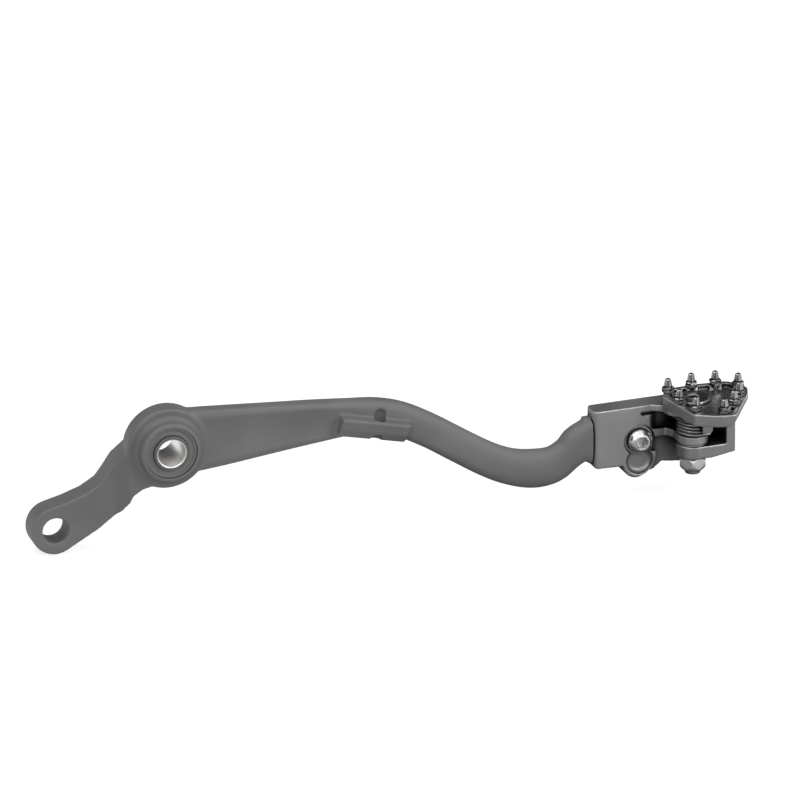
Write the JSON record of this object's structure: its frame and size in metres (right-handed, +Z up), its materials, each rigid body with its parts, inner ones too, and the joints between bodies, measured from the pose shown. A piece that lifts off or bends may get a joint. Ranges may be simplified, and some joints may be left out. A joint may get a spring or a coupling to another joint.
{
  "type": "rear brake pedal",
  "caption": "Forged alloy motorcycle rear brake pedal with a cranked rear lug, S-bend arm and folding sprung toe pad with grip studs.",
  "frame": {"origin": "centre of the pivot bore, half way along the bush", "axes": "+X forward along the pedal to the toe pad, +Y inboard along the pivot bore, +Z up"},
  "size_m": [0.3701, 0.0579, 0.0736],
  "materials": {
    "forged_alloy": "satin dark grey over a shot-blasted forging",
    "sintered_bronze": "dull grey bronze, machined",
    "seal_rubber": "matte black rubber",
    "anodised_block": "fine-milled, grey anodised",
    "anodised_pad": "fine-milled, grey anodised",
    "polished_steel": "polished steel",
    "satin_steel": "satin steel",
    "dark_steel": "dark satin steel",
    "spring_steel": "drawn spring wire",
    "zinc_plate": "pale zinc plate",
    "nylon": "dark nylon",
    "stud_steel": "turned stainless steel",
    "nut_steel": "darkened steel"
  },
  "bodies": {
    "pedal": {"pedal_arm": "forged_alloy", "pivot_bush": "sintered_bronze", "pivot_seal_outer": "seal_rubber", "pivot_seal_inner": "seal_rubber", "tip_block": "anodised_block", "clamp_screw": "polished_steel", "clamp_washer": "dark_steel", "spring_sleeve": "dark_steel", "torsion_spring": "spring_steel"},
    "pad": {"tip_pad": "anodised_pad", "pad_pivot_bolt": "satin_steel", "pad_lock_nut": "zinc_plate", "nut_locking_ring": "nylon", "thrust_washer": "dark_steel", "grip_stud_1": "stud_steel", "grip_stud_2": "stud_steel", "grip_stud_3": "stud_steel", "grip_stud_4": "stud_steel", "grip_stud_5": "stud_steel", "grip_stud_6": "stud_steel", "grip_stud_7": "stud_steel", "grip_stud_8": "stud_steel", "grip_stud_9": "stud_steel", "stud_nut_1": "nut_steel", "stud_nut_2": "nut_steel", "stud_nut_3": "nut_steel", "stud_nut_4": "nut_steel", "stud_nut_5": "nut_steel", "stud_nut_6": "nut_steel", "stud_nut_7": "nut_steel", "stud_nut_8": "nut_steel", "stud_nut_9": "nut_steel"}
  },
  "joints": [
    {"name": "pad_fold", "type": "hinge", "parent": "pedal", "child": "pad", "pos_m": [0.27156, -0.01281, -0.015], "axis": [0, 0, -1], "range_deg": [0, 75], "stiffness_Nm_per_rad": 0.25, "springref_deg": -34.38, "deforming": ["torsion_spring"]}
  ]
}
